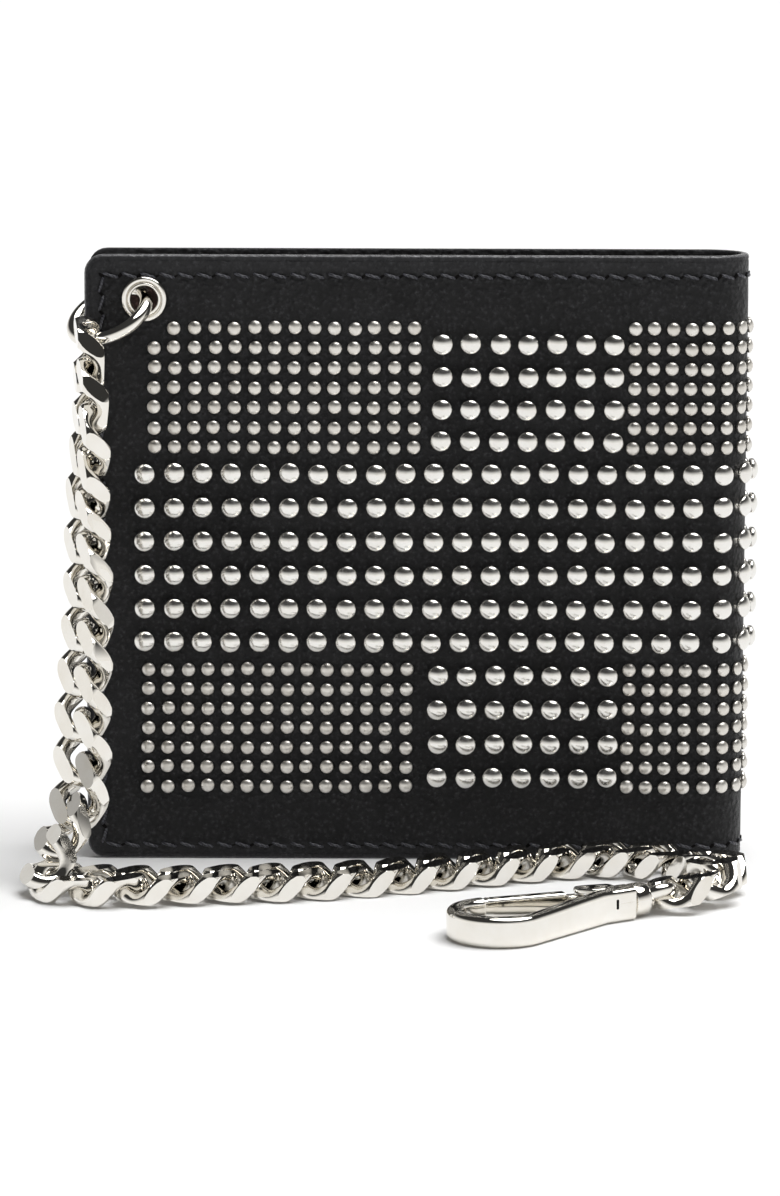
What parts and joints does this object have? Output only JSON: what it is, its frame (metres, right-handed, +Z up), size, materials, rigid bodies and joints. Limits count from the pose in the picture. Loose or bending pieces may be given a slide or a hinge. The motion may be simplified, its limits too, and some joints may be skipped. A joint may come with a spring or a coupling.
{
  "type": "chain wallet",
  "caption": "Bifold leather wallet with studded covers, an eyelet, a curb chain and a sprung swivel snap hook.",
  "frame": {"origin": "on the floor under the middle of the closed wallet, studs included", "axes": "+X from the open edges to the spine, +Y from the front cover to the back cover, +Z up"},
  "size_m": [0.1204, 0.0816, 0.1015],
  "materials": {
    "cover_leather": "fine pebble grain, soft sheen, near black",
    "lining_leather": "smooth thin lining leather, dark brown",
    "pocket_leather": "smooth black leather",
    "stud_nickel": "domed studs, large ones polished and small ones satin",
    "bright_nickel": "polished nickel plate",
    "spring_steel": "plain steel"
  },
  "bodies": {
    "front_half": {"front_cover": "cover_leather", "front_bill_lining": "lining_leather", "front_bill_divider": "lining_leather", "front_card_pocket_upper": "pocket_leather", "front_card_pocket_middle": "pocket_leather", "front_card_pocket_lower": "pocket_leather", "front_stud_field": "stud_nickel", "eyelet": "bright_nickel", "eyelet_washer": "bright_nickel", "jump_ring": "bright_nickel", "chain_link_01": "bright_nickel", "chain_link_02": "bright_nickel", "chain_link_03": "bright_nickel", "chain_link_04": "bright_nickel", "chain_link_05": "bright_nickel", "chain_link_06": "bright_nickel", "chain_link_07": "bright_nickel", "chain_link_08": "bright_nickel", "chain_link_09": "bright_nickel", "chain_link_10": "bright_nickel", "chain_link_11": "bright_nickel", "chain_link_12": "bright_nickel", "chain_link_13": "bright_nickel", "chain_link_14": "bright_nickel", "chain_link_15": "bright_nickel", "chain_link_16": "bright_nickel", "chain_link_17": "bright_nickel", "chain_link_18": "bright_nickel", "chain_link_19": "bright_nickel", "chain_link_20": "bright_nickel", "chain_link_21": "bright_nickel", "chain_link_22": "bright_nickel", "chain_link_23": "bright_nickel", "chain_link_24": "bright_nickel", "chain_link_25": "bright_nickel", "chain_link_26": "bright_nickel", "chain_link_27": "bright_nickel", "chain_link_28": "bright_nickel", "chain_link_29": "bright_nickel", "chain_link_30": "bright_nickel", "chain_link_31": "bright_nickel", "chain_link_32": "bright_nickel", "swivel_eye": "bright_nickel"},
    "spine": {"spine_cover": "cover_leather", "spine_lining": "lining_leather", "spine_stud_field": "stud_nickel"},
    "back_half": {"back_cover": "cover_leather", "back_bill_lining": "lining_leather", "back_bill_divider": "lining_leather", "back_card_pocket_upper": "pocket_leather", "back_card_pocket_middle": "pocket_leather", "back_card_pocket_lower": "pocket_leather", "back_stud_field": "stud_nickel"},
    "hook": {"hook_frame": "bright_nickel", "gate_pin": "spring_steel"},
    "gate": {"hook_gate": "bright_nickel", "gate_spring": "spring_steel"}
  },
  "joints": [
    {"name": "front_fold", "type": "hinge", "parent": "front_half", "child": "spine", "pos_m": [0.0513, -0.007, 0.05], "axis": [0, 0, -1], "range_deg": [0, 90]},
    {"name": "back_fold", "type": "hinge", "parent": "spine", "child": "back_half", "pos_m": [0.0513, 0.007, 0.05], "axis": [0, 0, -1], "range_deg": [0, 90]},
    {"name": "hook_swivel", "type": "hinge", "parent": "front_half", "child": "hook", "pos_m": [0.03412, -0.04951, 0.0027], "axis": [0.8192, 0.5736, 0], "continuous": true},
    {"name": "gate_hinge", "type": "hinge", "parent": "hook", "child": "gate", "pos_m": [0.02475, -0.05253, 0.0027], "axis": [0, 0, 1], "range_deg": [0, 25], "stiffness_Nm_per_rad": 0.004, "springref_deg": -20.05}
  ],
  "couplings": [
    {"joint": "back_fold", "follows": "front_fold", "ratio": 1}
  ]
}
